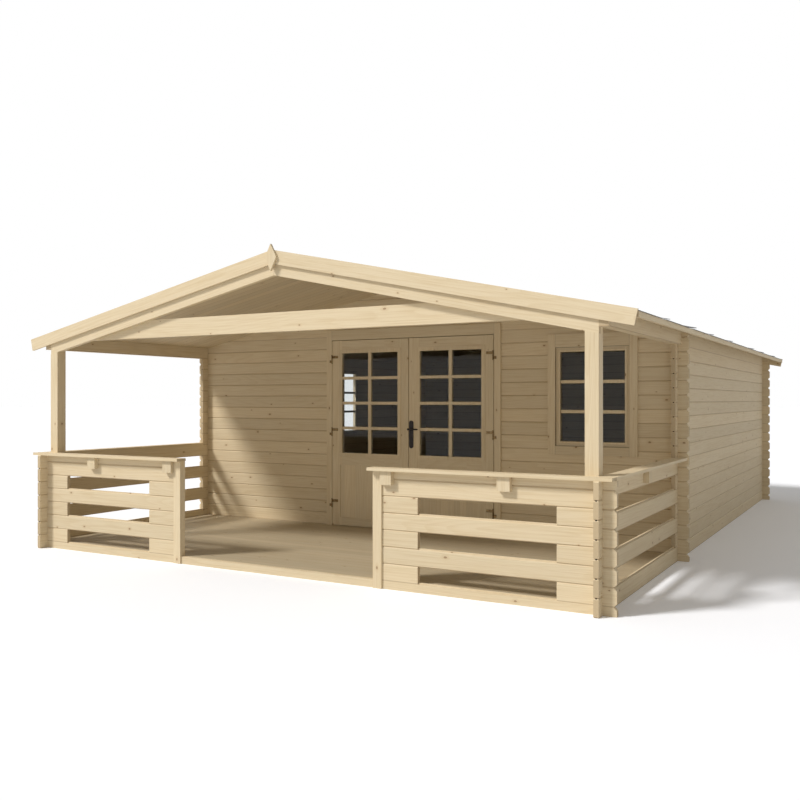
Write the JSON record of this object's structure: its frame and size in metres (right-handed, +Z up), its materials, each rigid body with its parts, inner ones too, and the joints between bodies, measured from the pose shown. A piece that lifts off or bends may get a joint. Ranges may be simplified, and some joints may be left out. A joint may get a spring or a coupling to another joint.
{
  "type": "garden shed",
  "caption": "Log-built garden cabin with a gable roof, an outward-opening glazed double door, barred windows and an open railed veranda under the same roof.",
  "frame": {"origin": "centre of the footprint, roof included, on the ground plane", "axes": "+X to the right seen from the front, +Y from the veranda front to the rear wall, +Z up"},
  "size_m": [5.612, 7.75, 2.537],
  "materials": {
    "logs": "untreated spruce, planed logs",
    "trim": "untreated spruce, planed boards and posts",
    "joinery": "untreated spruce, door and window joinery",
    "floor_boards": "untreated tongue-and-groove floor boards",
    "roof_boards": "untreated tongue-and-groove roof boards",
    "joists": "sawn spruce",
    "felt": "matt mineral roofing felt",
    "glass": "clear single glazing",
    "hinge_metal": "browned brass",
    "handle_metal": "black enamel"
  },
  "bodies": {
    "shed": {"sill_logs": "logs", "front_railing_left": "logs", "front_railing_right": "logs", "side_railing_left": "logs", "side_railing_right": "logs", "front_railing_caps": "trim", "side_railing_caps": "trim", "cap_brackets": "trim", "entrance_posts": "trim", "corner_posts": "trim", "top_log_left": "logs", "top_log_right": "logs", "front_rafters": "trim", "tie_beam": "trim", "front_wall_left": "logs", "front_wall_right": "logs", "front_gable": "logs", "rear_wall": "logs", "left_wall": "logs", "right_wall": "logs", "floor_veranda": "floor_boards", "floor_cabin": "floor_boards", "floor_joists": "joists", "roof_boards_left": "roof_boards", "roof_boards_right": "roof_boards", "roof_felt_left": "felt", "roof_felt_right": "felt", "front_fascia_left": "trim", "front_fascia_right": "trim", "rear_fascia": "trim", "eave_boards": "trim", "finial": "trim", "roof_purlins": "joists", "door_frame": "trim", "hinge_pins": "hinge_metal", "window_frame_front": "joinery", "window_frame_side": "joinery", "window_glass": "glass"},
    "left_door": {"door_leaf_left": "joinery", "door_glass_left": "glass", "door_hinges_left": "hinge_metal"},
    "right_door": {"door_leaf_right": "joinery", "door_glass_right": "glass", "door_hinges_right": "hinge_metal", "door_handle": "handle_metal"}
  },
  "joints": [
    {"name": "left_door_hinge", "type": "hinge", "parent": "shed", "child": "left_door", "pos_m": [-0.859, -1.692, 1], "axis": [0, 0, -1], "range_deg": [0, 105]},
    {"name": "right_door_hinge", "type": "hinge", "parent": "shed", "child": "right_door", "pos_m": [0.929, -1.692, 1], "axis": [0, 0, 1], "range_deg": [0, 105]}
  ]
}
